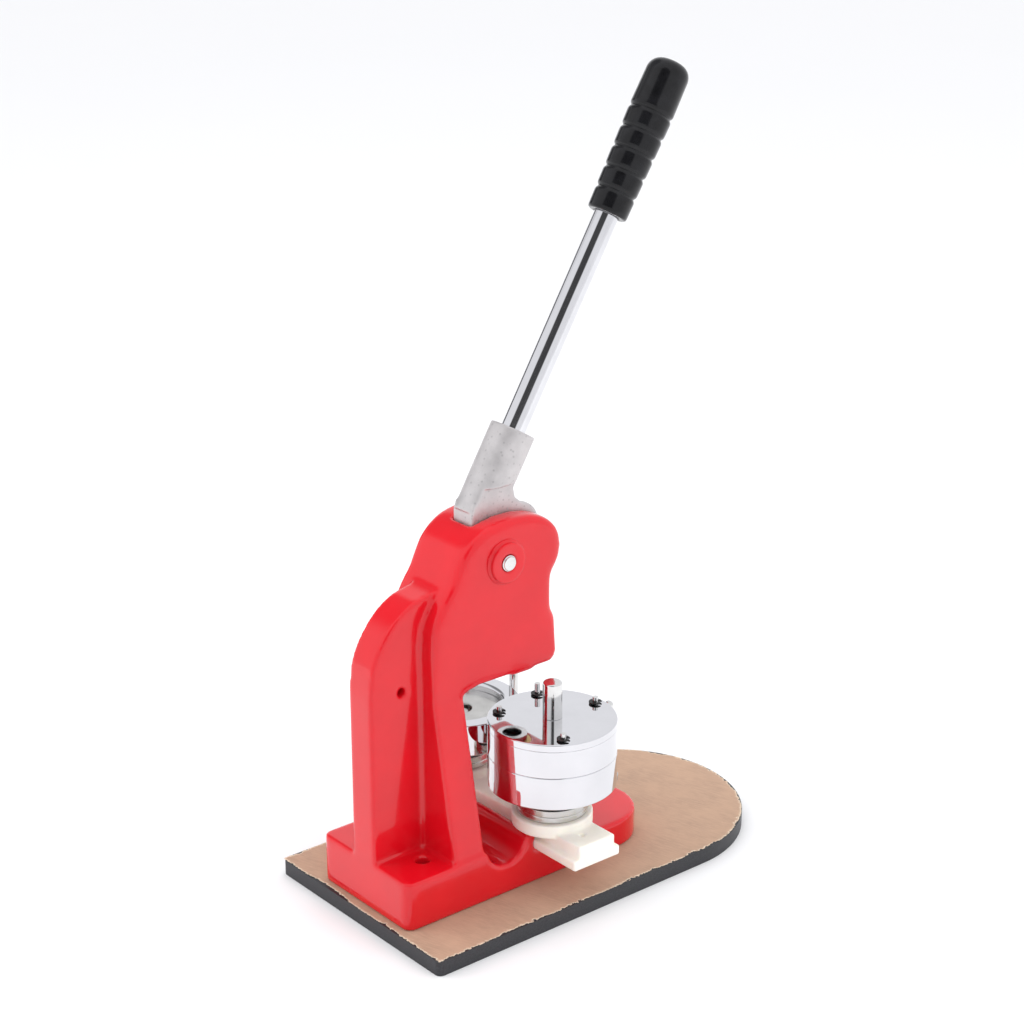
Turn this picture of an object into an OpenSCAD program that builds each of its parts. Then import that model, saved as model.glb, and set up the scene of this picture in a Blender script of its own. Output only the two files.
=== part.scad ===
// Bench press for 58 mm badges: a C-frame casting on a mounting board, a bell-crank lever
// that drives a vertical ram, and a sliding bar carrying two lower dies below it.
// Frame: origin at the centre of the board's underside, +Z up, +Y to the rounded front end,
// +X to the machine's right. Millimetres.

/* [Mounting board] */
// Board width, left to right
board_w = 159; // [140:0.5:190]
// Board length, rear to front
board_l = 290.5; // [250:0.5:345]
// Board thickness
board_t = 10; // [8:0.5:15]
// Thickness of the kraft paper laid on the board
paper_t = 0.3; // [0.2:0.05:0.5]
// How far the paper stops short of the board edge
paper_gap = 1.5; // [0.5:0.1:4]

/* [Frame casting] */
// Base casting width
base_w = 86; // [74:0.5:103]
// Base casting length
base_l = 195; // [165:0.5:230]
// Base casting height over the paper
base_h = 30.8; // [26:0.1:36]
// Height of the rounded front foot over the paper
foot_h = 17.7; // [12:0.1:21]
// Radius of the foot's front corners
foot_r = 30; // [22:0.5:34]
// Thickness of the column web, left to right
web_w = 21; // [16:0.5:24]
// Depth of the throat, ram axis to the column face
throat = 55.8; // [50:0.1:64]
// Depth of the flared gusset along the frame
gusset_d = 21.8; // [16:0.1:24]
// Half width of the gusset where it meets the base
gusset_foot = 42; // [32:0.5:42.5]
// Head width, left to right
head_w = 45.6; // [40:0.1:54]
// Width of the lever slot in the head
slot_w = 19.5; // [19:0.1:21]
// Height of the head's underside over the board's underside
head_z = 142.5; // [140:0.5:160]
// Radius of the round trough in front of the column
trough_r = 14.5; // [11:0.1:16]
// Radius of the pivot boss disc
boss_r = 12.3; // [10:0.1:15]

/* [Lever] */
// Height of the lever pivot over the board's underside
pivot_z = 216; // [214:0.1:226]
// Distance of the lever pivot behind the ram axis
pivot_back = 23.8; // [22.5:0.1:24.5]
// Crank radius, pivot to crank pin
crank_r = 25; // [24:0.1:26]
// Angle of the crank above level when the ram is up
crank_up = 28.7; // [24:0.1:29]
// Lean of the lever rod forward of upright
rod_lean = 31.2; // [26:0.1:36]
// Thickness of the lever casting's web
lever_w = 17.8; // [16:0.1:17.9]
// Radius of the round socket that holds the rod
socket_r = 13.8; // [12:0.1:16]
// Rod diameter
rod_d = 15; // [12:0.1:18]
// Bare rod length between the socket and the grip
rod_free = 138; // [110:0.5:170]
// Grip length
grip_l = 98; // [80:0.5:125]
// Grip diameter at its lower end
grip_d = 24.4; // [22:0.1:30]
// Pivot pin diameter
pivot_d = 10; // [8:0.1:12]

/* [Ram] */
// Ram diameter
ram_d = 18.7; // [17:0.1:19]
// Diameter of the bore in the ram's lower end
ram_bore = 12.12; // [12.06:0.01:12.2]
// Depth of that bore
ram_bore_l = 27; // [24:0.5:32]
// Height of the ram's lower end over the board's underside
ram_z = 138.8; // [138.2:0.1:141]

/* [Slide bar] */
// Width of the bar's lower flange
bar_w = 36; // [32:0.5:40]
// Thickness of the flange
bar_f = 6.5; // [5:0.1:8]
// Total height of the bar
bar_h = 15.2; // [13:0.1:18]
// Width of the bar's upper part
bar_top = 28; // [24:0.5:31]
// Bar length
bar_l = 176.4; // [160:0.5:200]
// Height of the bar's underside over the board's underside
bar_z = 32.3; // [31:0.1:34]
// Distance between the two die axes
die_pitch = 91.8; // [86:0.1:100]
// Front of the ram axis measured from the board centre, negative to the rear
ram_y = -25.2; // [-30:0.1:-20]
// How far the bar stands off centre at rest, positive to the right
bar_x = -7.8; // [-12:0.1:12]
// Radius of the round pedestal under each die
ped_r = 25; // [23:0.1:28]

/* [Dies] */
// Outside radius of the die rings
die_r = 39.4; // [37:0.1:43]
// Radius of the die cores
core_r = 28.34; // [26:0.01:29]
// Height of the lower rings
low_h = 21; // [18:0.1:24]
// Height of the upper ring
up_h = 17.2; // [14:0.1:20]
// Thickness of the upper plate
plate_h = 4.7; // [4:0.1:6]
// Depth of the recess inside the lower rings
recess = 5.4; // [4:0.1:7]
// Upper die post diameter
post_d = 12; // [10:0.1:12]
// Upper die post height over the plate
post_h = 23.2; // [18:0.1:23.6]
// Diameter of the guide pins
pin_d = 3.6; // [3:0.1:4.5]
// Diameter of the side posts beside the lower dies
side_d = 6; // [5:0.1:7]

/* [Hidden] */
$fn = 96;
e = 0.01;
yb = -base_l/2 - 42;              // rear face of the casting
zb = board_t + paper_t;             // underside of the casting
base_z = zb + base_h;
foot_z = zb + foot_h;
col_y = ram_y - throat;             // column face
back_y = col_y - gusset_d;           // rear face of the gusset and of the head's lower part
piv_y = ram_y - pivot_back;
pin_y = piv_y + crank_r*cos(crank_up);
pin_z = pivot_z + crank_r*sin(crank_up);
ear_r = 15.5;
hub_r = 15;
rod_r = rod_d/2;
ram_r = ram_d/2;
ram_top = pin_z - 22;               // shoulder of the ram
tang = 3.7;
roll_r = 4.5;
side_head = head_w/2;
top_z = pivot_z + 27.3;
ped_z = bar_z + bar_h;
base_die_z = ped_z + 5.5;           // underside of the steel die bases
ring_z = base_die_z + 18.3;         // underside of the lower rings
neck_r = 19.5;
seat_z = base_die_z + 8.5;           // top of the post bracket, where the ring spring sits
core_z = ring_z + 4;                // underside of the cores
ring_top = ring_z + low_h;
core_top = ring_top - recess;
up_z = ring_top + 0.05;
plate_z = up_z + up_h;
plate_top = plate_z + plate_h;
chan = bar_w/2 + 0.4;               // half width of the channel
bar_y = ram_y;
xf = bar_x + die_pitch/2;           // front die axis
xr = bar_x - die_pitch/2;           // rear die axis
side_off = 45.5;                    // side post behind the die axis line
pins_a = [86, 221, 331];
pins_r = 32.5;
loc_a = 156;
bolts = [[22.3, yb + 26.5, base_z, 14], [-22.3, yb + 26.5, base_z, 14], [0, 36, foot_z, 10]];
lean = rod_lean;
sock_y = piv_y + 24.9;              // top of the socket on the rod axis
sock_z = pivot_z + 70.6;

red = [0.82, 0.05, 0.07];
steel = [0.80, 0.80, 0.82];
alu = [0.66, 0.65, 0.64];
nylon = [0.94, 0.91, 0.82];
black = [0.05, 0.05, 0.05];

// Shape drawn in the plane seen from the right side, extruded along X about x
module side(w, x = 0) translate([x, 0, 0]) rotate([90, 0, 90]) linear_extrude(w, center = true) children();
module xcyl(r, w, x = 0) translate([x, 0, 0]) rotate([0, 90, 0]) cylinder(r = r, h = w, center = true);
module along_rod(s) translate([0, sock_y, sock_z]) rotate([-lean, 0, 0]) translate([0, 0, s]) children();
module tube(ro, ri, h) difference() { cylinder(r = ro, h = h); translate([0, 0, -1]) cylinder(r = ri, h = h + 2); }

// Board outline: square rear with eased corners, half round front
module board2d(g) {
  w = board_w - 2*g;
  translate([-w/2 + 4, -board_l/2 + g]) square([w - 8, 10]);
  translate([-w/2, -board_l/2 + g + 4]) square([w, board_l - board_w/2 - g - 4]);
  for (s = [-1, 1]) translate([s*(w/2 - 4), -board_l/2 + g + 4]) circle(r = 4);
  translate([0, board_l/2 - board_w/2]) circle(r = w/2);
}

module baseboard() color(black) difference() {
  linear_extrude(board_t) board2d(0);
  for (b = bolts) translate([b[0], b[1], -1]) {
    cylinder(r = 2.8, h = board_t + 2);
    cylinder(r = 7, h = 5.5);
  }
}

module protective_paper() color([0.72, 0.58, 0.42]) translate([0, 0, board_t]) difference() {
  linear_extrude(paper_t) board2d(paper_gap);
  for (b = bolts) translate([b[0], b[1], -1]) cylinder(r = 2.8, h = 3);
}

// Plan of the base casting: square rear, two large corner radii at the foot
module base2d() {
  h = base_w/2;
  f = yb + base_l;
  translate([-h + 6, yb]) square([base_w - 12, base_l - foot_r]);
  translate([-h, yb + 6]) square([base_w, base_l - foot_r - 6]);
  translate([-h + foot_r, yb + 6]) square([base_w - 2*foot_r, base_l - 6]);
  for (s = [-1, 1]) {
    translate([s*(h - 6), yb + 6]) circle(r = 6);
    translate([s*(h - foot_r), f - foot_r]) circle(r = foot_r);
  }
}

// Lengthwise section of the base: tall rear, trough, channel walls, low foot
module base_section() {
  f = yb + base_l + 1;
  tc = col_y + trough_r + 1.8;
  wl = bar_y - chan;
  difference() {
    union() {
      translate([yb - 1, zb]) square([f - yb + 1, foot_z - zb]);
      translate([yb - 1, zb]) square([wl - yb - 3.5, base_z - zb]);
      translate([wl - 6, zb]) square([2*chan + 16, base_z - 1 - zb]);
      translate([wl - 2.2, base_z - 1.2]) circle(r = 3.8);
      translate([wl + 2*chan + 5, base_z - 1.2]) circle(r = 3.8);
    }
    translate([tc, zb + 33.7]) circle(r = trough_r);
    translate([tc - trough_r, zb + 33.7]) square([2*trough_r, 40]);
    polygon([[tc + trough_r - 4, zb + 25], [tc + trough_r + 3, zb + 36], [tc + trough_r - 4, zb + 36]]);
    translate([wl, bar_z - 0.3]) square([2*chan, bar_f + 0.8]);
    translate([wl + 1.8, bar_z + bar_f - 1]) square([2*chan - 3.6, 40]);
  }
}

// Smooth curve through the points p, n steps between each pair
function curve(p, n = 4) = concat([for (i = [0:len(p) - 2]) for (k = [0:n - 1]) let (t = k/n, a = p[max(i - 1, 0)], b = p[i], c = p[i + 1],
  d = p[min(i + 2, len(p) - 1)]) (2*b + (c - a)*t + (2*a - 5*b + 4*c - d)*t*t + (3*b - a - 3*c + d)*t*t*t)/2], [p[len(p) - 1]]);

// Side outline of the column web and the curved rib over it
module web2d() {
  polygon(concat([[yb, base_z], [col_y, base_z], [col_y, head_z + 20], [col_y + 20, head_z + 40], [col_y + 20, top_z - 26], [yb + 45, top_z - 40]],
    curve([[yb + 32.5, top_z - 42.5], [yb + 26, top_z - 45.8], [yb + 17.8, top_z - 52.3], [yb + 11, top_z - 60.2], [yb + 5.7, top_z - 68.7],
      [yb + 2, top_z - 78.3], [yb, top_z - 95.2]])));
}

// Side outline of the head
module head2d() {
  nose = ram_y + 15.6;
  cy = piv_y;
  cz = pivot_z;
  back = back_y;
  polygon(concat([[back, head_z - 5], [col_y, head_z - 5], [col_y, head_z - 2.5], [col_y + 12, head_z], [nose - 6, head_z],
    [nose, head_z + 6], [nose, head_z + 28.5], [nose - 3.6, head_z + 33.5], [nose - 3.6, cz - 18], [nose + 1.2, cz - 10], [cy + 33.5, cz + 18.2]],
    curve([[cy + 33.5, cz + 18.2], [cy + 29.5, cz + 20.6], [cy + 23.6, cz + 22.8], [cy + 14.3, cz + 24.4], [cy + 3.8, cz + 24.8], [cy - 3.1, cz + 24.2],
      [cy - 8.8, cz + 23.2], [cy - 14, cz + 21.8], [cy - 18.5, cz + 19.6], [cy - 23.5, cz + 16.2], [cy - 28, cz + 11.8], [cy - 31.6, cz + 6],
      [cy - 34.5, cz], [cy - 37.8, cz - 7], [cy - 43, cz - 14], [cy - 49, cz - 24.3], [back + 2, cz - 29.7], [back + 0.6, cz - 36], [back, cz - 47.7]], 3)));
  translate([nose - 6, head_z + 6]) circle(r = 6);
  translate([cy + 23, cz]) circle(r = 21);
}

// The C-frame is one casting, drawn as four solids that meet face to face
module base_casting() color(red) difference() {
  intersection() {
    side(base_w + 2) base_section();
    translate([0, 0, zb]) linear_extrude(base_h + 10) base2d();
  }
  for (b = bolts) translate([b[0], b[1], 0]) {
    cylinder(r = 2.8, h = base_z + 5);
    translate([0, 0, b[2] - b[3]]) cylinder(r = 4.7, h = b[3] + 2);
  }
}
module column_web() color(red) difference() {
  side(web_w) difference() {
    web2d();
    head2d();
    translate([back_y, base_z - 1]) square([col_y + 1 - back_y, head_z - 4 - base_z]);
  }
  translate([0, yb + 22.5, head_z + 4.6]) xcyl(3.2, web_w + 20);
}
// Flared gusset in front of the web
module column_gusset() color(red) translate([0, col_y, 0]) rotate([90, 0, 0]) linear_extrude(gusset_d)
  polygon([[-gusset_foot, base_z], [gusset_foot, base_z], [side_head, head_z - 5], [-side_head, head_z - 5]]);
module head_casting() color(red) difference() {
  union() {
    side(head_w) head2d();
    for (s = [-1, 1]) {
      translate([0, piv_y, pivot_z]) xcyl(14, 1.5, s*(side_head + 0.75));
      translate([0, piv_y, pivot_z]) xcyl(boss_r, 4, s*(side_head + 2));
    }
    translate([side_head - 6.5, ram_y - 10.2, head_z - 1.6]) cylinder(r = 9, h = 4.5);
  }
  // lever slot, open to the top and to the front
  side(slot_w) polygon([[piv_y - 14.6, top_z + 20], [piv_y - 14.6, pivot_z + 8], [piv_y - 16.5, pivot_z + 3], [piv_y - 16.5, pivot_z - 13], [piv_y - 3, pivot_z - 20],
    [piv_y + 2, pivot_z - 33], [ram_y + 60, pivot_z - 33], [ram_y + 60, top_z + 20]]);
  translate([0, piv_y, pivot_z]) xcyl(pivot_d/2 + 0.02, head_w + 20);
  translate([0, ram_y, head_z - 10]) cylinder(r = 12.01, h = pivot_z - 33 - head_z + 12);
}

// Cap screws that hold the casting to the board
module base_bolts() color(steel) for (b = bolts) translate([b[0], b[1], 0]) {
  translate([0, 0, 0.8]) cylinder(r = 2.5, h = b[2] - b[3] + 1.1 - 0.8);
  translate([0, 0, b[2] - b[3] + 1.1]) difference() {
    cylinder(r = 4.3, h = 5);
    translate([0, 0, 2.4]) cylinder(r = 2.3, h = 5, $fn = 6);
  }
}
module base_washers() color(steel) for (b = bolts) translate([b[0], b[1], b[2] - b[3]]) tube(4.6, 2.6, 1);
module base_nuts() color(steel) for (b = bolts) translate([b[0], b[1], 0.5]) difference() {
  cylinder(r = 4.6, h = 4, $fn = 6);
  translate([0, 0, -1]) cylinder(r = 2.5, h = 7);
}

module pivot_pin() color(steel) translate([0, piv_y, pivot_z]) {
  xcyl(pivot_d/2, head_w + 8);
  for (s = [-1, 1]) xcyl(pivot_d/2 - 0.7, 1, s*(side_head + 4.4));
}
module ram_bush() color([0.72, 0.55, 0.25]) translate([0, ram_y, head_z + 1.5]) tube(12, ram_r + 0.06, pivot_z - 33 - head_z - 2.5);

// Lever casting: hub, crank ears, web and rod socket
module lever2d() {
  translate([piv_y, pivot_z]) circle(r = hub_r);
  translate([pin_y, pin_z]) circle(r = ear_r);
  n = [-sin(crank_up), cos(crank_up)];
  polygon([[piv_y, pivot_z] - hub_r*n, [pin_y, pin_z] - ear_r*n, [pin_y, pin_z] + ear_r*n, [piv_y, pivot_z] + hub_r*n]);
  polygon([[piv_y - 13, pivot_z + 2], [piv_y - 13.9, pivot_z + 12], [piv_y - 13.9, pivot_z + 27], [piv_y - 12, pivot_z + 33],
    [sock_y - 14, sock_z - 30], [piv_y + 18, pivot_z + 38.3], [piv_y + 19.3, pivot_z + 31.8], [piv_y + 26, pivot_z + 26], [piv_y, pivot_z]]);
}
module lever_casting() color(alu) difference() {
  union() {
    side(lever_w) lever2d();
    intersection() {
      along_rod(-56) cylinder(r = socket_r, h = 56);
      union() {
        translate([-20, sock_y - 60, sock_z - 28.6]) cube([40, 120, 60]);
        translate([-lever_w/2, sock_y - 60, sock_z - 60]) cube([lever_w, 120, 60]);
      }
    }
  }
  // slot between the crank ears for the ram's tang
  translate([0, piv_y, pivot_z]) side(8.2) difference() {
    circle(r = 44);
    circle(r = 13.8);
    polygon([[0, 0], [90*cos(58), 90*sin(58)], [-80, 80], [-80, -80], [0, -80]]);
  }
  translate([0, piv_y, pivot_z]) xcyl(7, 40);
  translate([0, pin_y, pin_z]) xcyl(3.01, 40);
  along_rod(-27) cylinder(r = rod_r + 0.02, h = 40);
  along_rod(-14) rotate([0, -90, 0]) cylinder(r = 3, h = 20);
}
module lever_rod() color(steel) along_rod(-27 + e) cylinder(r = rod_r, h = 27 + rod_free + grip_l - 8);
module rod_set_screw() color(black) along_rod(-14) rotate([0, -90, 0]) translate([0, 0, rod_r]) difference() {
  cylinder(r = 2.98, h = 5);
  translate([0, 0, 2.6]) cylinder(r = 1.5, h = 5, $fn = 6);
}
// Ribbed grip: a slightly tapered sleeve, five grooves and a domed end
module hand_grip() color(black) along_rod(rod_free) difference() {
  union() {
    cylinder(r1 = grip_d/2, r2 = grip_d/2 + 1.4, h = grip_l*0.67);
    translate([0, 0, grip_l*0.67]) cylinder(r1 = grip_d/2 + 1.4, r2 = grip_d/2 + 0.9, h = grip_l*0.33 - 5);
    translate([0, 0, grip_l - 5]) cylinder(r1 = grip_d/2 + 0.9, r2 = grip_d/2 - 3.5, h = 5);
  }
  translate([0, 0, -1]) cylinder(r = rod_r, h = grip_l - 7);
  for (i = [0:4]) translate([0, 0, grip_l*(0.14 + 0.131*i)]) rotate_extrude() translate([grip_d/2 + 0.9 + 0.27*i, 0]) circle(r = 1.9, $fn = 32);
}
module pivot_bushes() color([0.72, 0.55, 0.25]) translate([0, piv_y, pivot_z]) for (s = [-1, 1]) translate([s*lever_w/4, 0, 0]) difference() {
  xcyl(7, lever_w/2 - 0.4);
  xcyl(pivot_d/2 + 0.05, 20);
}
module hub_washers() color(nylon) translate([0, piv_y, pivot_z]) for (s = [-1, 1]) translate([s*(lever_w/2 + 0.25), 0, 0]) difference() {
  xcyl(12, 0.5);
  xcyl(pivot_d/2 + 0.1, 2);
}
module crank_pin() color(steel) translate([0, pin_y, pin_z]) xcyl(3, lever_w);
module crank_roller() color(steel) translate([0, pin_y, pin_z]) difference() {
  xcyl(roll_r, 7.6);
  xcyl(3.06, 20);
}

module ram() color(steel) difference() {
  union() {
    translate([0, ram_y, ram_z]) cylinder(r = ram_r, h = ram_top - ram_z);
    intersection() {
      translate([0, ram_y, ram_z + 30]) cylinder(r = ram_r - 0.05, h = 100);
      translate([-tang, ram_y - 20, ram_top - 3]) cube([2*tang, 40, pin_z + 8.2 - ram_top + 3]);
    }
  }
  // eased top corners of the tang
  for (s = [-1, 1]) translate([0, ram_y + s*ram_r, pin_z + 8.2]) rotate([45, 0, 0]) cube([30, 2.8, 2.8], center = true);
  translate([0, ram_y, ram_z - 1]) cylinder(r = ram_bore/2, h = ram_bore_l + 1);
  translate([0, ram_y, ram_z + 2.5]) cylinder(r = ram_bore/2 + 1.1, h = 1.3);
  // cross slot for the crank roller
  for (y = [pin_y - 0.3, piv_y + crank_r + 0.3]) translate([0, y, pin_z]) xcyl(roll_r + 0.35, 30);
  translate([-15, pin_y - 0.3, pin_z - roll_r - 0.35]) cube([30, piv_y + crank_r + 0.6 - pin_y, 2*roll_r + 0.7]);
}
module ram_snap_ring() color(steel) translate([0, ram_y, ram_z + 2.6]) difference() {
  tube(ram_bore/2 + 1.05, ram_bore/2 + 0.02, 1.1);
  translate([-20, -1.2, -1]) cube([20, 2.4, 4]);
}

module die_pair() for (x = [xf, xr]) translate([x, bar_y, 0]) children();
module slide_bar() color(nylon) difference() {
  union() {
    translate([bar_x - bar_l/2, bar_y - bar_w/2, bar_z]) cube([bar_l, bar_w, bar_f]);
    translate([bar_x - bar_l/2, bar_y - bar_top/2, bar_z]) cube([bar_l, bar_top, bar_h]);
    die_pair() translate([0, 0, bar_z + bar_f + 5.5]) cylinder(r = ped_r, h = base_die_z - bar_z - bar_f - 5.5);
  }
  die_pair() {
    translate([0, 0, bar_z - 1]) cylinder(r = 3.3, h = 60);
    translate([0, 0, bar_z - 1]) cylinder(r = 6, h = 8);
  }
  for (s = [-1, 1]) translate([bar_x + s*(bar_l/2 - 12), bar_y - 2, bar_z + bar_h - 3]) cylinder(r = 1.8, h = 6);
}
module die_fixing_screws() color(steel) die_pair() {
  translate([0, 0, bar_z + 6.9]) cylinder(r = 3, h = base_die_z + 7.5 - bar_z - 6.9);
  translate([0, 0, bar_z + 1]) difference() {
    cylinder(r = 5, h = 6);
    translate([0, 0, -1]) cylinder(r = 2.4, h = 4, $fn = 6);
  }
}

// Steel base under a lower ring: flange and neck
module die_base(x) translate([x, bar_y, 0]) difference() {
  union() {
    translate([0, 0, base_die_z]) cylinder(r = 22, h = 4.5);
    translate([0, 0, base_die_z + 4]) cylinder(r = neck_r, h = core_z + 0.3 - base_die_z - 4);
  }
  translate([0, 0, base_die_z - 1]) cylinder(r = 3, h = 9);
  translate([0, 0, core_z - 9]) cylinder(r = 4, h = 20);
}
module die_core(x, r) translate([x, bar_y, 0]) difference() {
  translate([0, 0, core_z + 0.3]) cylinder(r = core_r, h = core_top - core_z - 0.3);
  translate([0, 0, core_z - 1]) cylinder(r = 4.2, h = 30);
  translate([0, 0, core_top - 7]) cylinder(r = r, h = 20);
}
module core_screw(x) translate([x, bar_y, 0]) {
  translate([0, 0, core_z - 8]) cylinder(r = 4, h = core_top - core_z + 1);
  translate([0, 0, core_top - 7]) difference() {
    cylinder(r = 6.4, h = 4.4);
    translate([0, 0, 1.8]) cylinder(r = 3.4, h = 5, $fn = 6);
  }
}
// Floating outer ring, lifted by its spring against the core
module die_ring(x) translate([x, bar_y, 0]) difference() {
  translate([0, 0, ring_z]) cylinder(r = die_r, h = low_h);
  translate([0, 0, ring_z - 1]) cylinder(r = neck_r + 0.2, h = 60);
  translate([0, 0, core_z]) cylinder(r = core_r + 0.06, h = 60);
  translate([0, 0, ring_top - 1.6]) cylinder(r1 = core_r + 0.06, r2 = core_r + 1.7, h = 1.61);
}
module helix(r, w, h, turns) {
  s = 24;
  m = 8;
  n = turns*s;
  polyhedron([for (i = [0:n]) for (j = [0:m - 1]) [(r + w*cos(360*j/m))*cos(360*i/s), (r + w*cos(360*j/m))*sin(360*i/s), h*i/n + w*sin(360*j/m)]],
    concat([[for (j = [0:m - 1]) j]], [[for (j = [m - 1:-1:0]) n*m + j]],
      [for (i = [0:n - 1]) for (j = [0:m - 1]) [i*m + j, (i + 1)*m + j, (i + 1)*m + (j + 1)%m]],
      [for (i = [0:n - 1]) for (j = [0:m - 1]) [i*m + j, (i + 1)*m + (j + 1)%m, i*m + (j + 1)%m]]));
}
module ring_spring(x) translate([x, bar_y, seat_z + 0.9]) helix(21, 0.8, ring_z - seat_z - 1.8, 2.5);

module front_die_base() color(steel) die_base(xf);
module front_die_core() color(steel) die_core(xf, 8.5);
module front_core_screw() color(steel) core_screw(xf);
module front_die_ring() color(steel) die_ring(xf);
module front_ring_spring() color(steel) ring_spring(xf);
module rear_die_base() color(steel) die_base(xr);
module rear_die_core() color(steel) die_core(xr, 8.5);
module rear_core_screw() color(steel) core_screw(xr);
module rear_die_ring() color(steel) die_ring(xr);
module rear_ring_spring() color(steel) ring_spring(xr);

// Collars round the die bases, each with an arm that carries an upright side post
module post_brackets() color(steel) die_pair() difference() {
  union() {
    translate([0, 0, seat_z - 4]) cylinder(r = 22.4, h = 4);
    translate([-6.5, 18, seat_z - 4]) cube([13, side_off - 18, 4]);
    translate([0, side_off, seat_z - 4]) cylinder(r = 6.5, h = 4);
  }
  translate([0, 0, seat_z - 6]) cylinder(r = neck_r + 0.03, h = 10);
  translate([0, side_off, seat_z - 6]) cylinder(r = side_d/2, h = 10);
}
module side_posts() color(steel) die_pair() translate([0, side_off, seat_z - 5]) {
  cylinder(r = side_d/2, h = ring_top + 17 - seat_z + 5);
  translate([0, 0, ring_top + 17 - seat_z + 5]) cylinder(r1 = side_d/2, r2 = side_d/2 - 1.6, h = 1.6);
}

module at_loc() translate([xf + pins_r*cos(loc_a), bar_y + pins_r*sin(loc_a), 0]) children();
module on_pins() for (a = pins_a) translate([xf + pins_r*cos(a), bar_y + pins_r*sin(a), 0]) children();
module upper_ring() color(steel) difference() {
  translate([xf, bar_y, up_z]) tube(die_r, core_r + 0.1, up_h);
  on_pins() translate([0, 0, plate_z - 10]) cylinder(r = pin_d/2, h = 20);
  at_loc() translate([0, 0, plate_z - 10]) cylinder(r = pin_d/2, h = 20);
}
module upper_guide_pins() color(steel) on_pins() difference() {
  translate([0, 0, plate_z - 10]) cylinder(r = pin_d/2, h = plate_h + 14.4);
  translate([0, 0, plate_top + 0.5]) tube(5, pin_d/2 - 0.4, 0.9);
}
module clip() translate([0, 0, plate_top + 0.55]) difference() {
  tube(4, pin_d/2 - 0.35, 0.8);
  rotate(35) translate([0, -1.3, -1]) cube([9, 2.6, 3]);
}
module pin_clips() color(black) {
  on_pins() clip();
  at_loc() clip();
}
module upper_plate() color(steel) difference() {
  translate([xf, bar_y, plate_z]) union() {
    cylinder(r = die_r, h = plate_h - 0.6);
    translate([0, 0, plate_h - 0.6]) cylinder(r1 = die_r, r2 = die_r - 0.6, h = 0.6);
  }
  on_pins() translate([0, 0, plate_z - 1]) cylinder(r = pin_d/2 + 0.1, h = 20);
  translate([xf, bar_y, plate_z - 1]) cylinder(r = 4, h = 20);
  at_loc() translate([0, 0, plate_z - 1]) cylinder(r = pin_d/2 + 0.1, h = 20);
}
module upper_core() color(steel) difference() {
  translate([xf, bar_y, up_z + 2.2]) cylinder(r = core_r, h = up_h - 2.2);
  translate([xf, bar_y, up_z]) cylinder(r = core_r - 3, h = 4);
  translate([xf, bar_y, up_z]) cylinder(r = 4, h = 40);
}
module upper_post() color(steel) translate([xf, bar_y, 0]) {
  translate([0, 0, up_z + 5]) cylinder(r = 4, h = up_h + plate_h - 5);
  translate([0, 0, plate_top]) cylinder(r = post_d/2, h = post_h - 0.8);
  translate([0, 0, plate_top + post_h - 0.8]) cylinder(r1 = post_d/2, r2 = post_d/2 - 0.8, h = 0.8);
}
module locating_pin() color(steel) at_loc() difference() {
  translate([0, 0, plate_z - 10]) cylinder(r = pin_d/2, h = plate_h + 17.8);
  translate([0, 0, plate_top + 0.5]) tube(5, pin_d/2 - 0.4, 0.9);
}

baseboard();
protective_paper();
base_casting();
column_web();
column_gusset();
head_casting();
base_bolts();
base_washers();
base_nuts();
pivot_pin();
ram_bush();
lever_casting();
lever_rod();
rod_set_screw();
hand_grip();
pivot_bushes();
hub_washers();
crank_pin();
crank_roller();
ram();
ram_snap_ring();
slide_bar();
die_fixing_screws();
front_die_base();
front_die_core();
front_core_screw();
front_die_ring();
front_ring_spring();
rear_die_base();
rear_die_core();
rear_core_screw();
rear_die_ring();
rear_ring_spring();
post_brackets();
side_posts();
upper_ring();
upper_guide_pins();
pin_clips();
upper_plate();
upper_core();
upper_post();
locating_pin();
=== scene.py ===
"""Badge making press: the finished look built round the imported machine."""

import math

import bmesh
import bpy
from bpy.props import FloatProperty, FloatVectorProperty, IntProperty, PointerProperty
from bpy.types import Operator, Panel, PropertyGroup
from mathutils import Matrix, Vector, noise


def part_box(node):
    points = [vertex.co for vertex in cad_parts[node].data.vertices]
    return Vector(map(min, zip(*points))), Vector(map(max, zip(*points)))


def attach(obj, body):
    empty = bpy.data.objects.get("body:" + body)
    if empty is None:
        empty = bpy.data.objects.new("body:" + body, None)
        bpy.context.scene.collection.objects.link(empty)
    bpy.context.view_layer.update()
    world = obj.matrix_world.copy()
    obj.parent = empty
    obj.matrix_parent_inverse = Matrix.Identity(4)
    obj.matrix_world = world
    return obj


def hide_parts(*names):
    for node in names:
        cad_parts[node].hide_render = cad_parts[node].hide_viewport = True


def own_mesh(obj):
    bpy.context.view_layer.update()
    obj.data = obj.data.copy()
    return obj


bl_info = {
    "name": "Badge Press",
    "version": (1, 0, 0),
    "blender": (4, 5, 0),
    "location": "3D Viewport > Sidebar > Badge Press",
    "description": "Builds a badge making press, its dies, its board and a small studio",
    "category": "Add Mesh",
}

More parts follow.
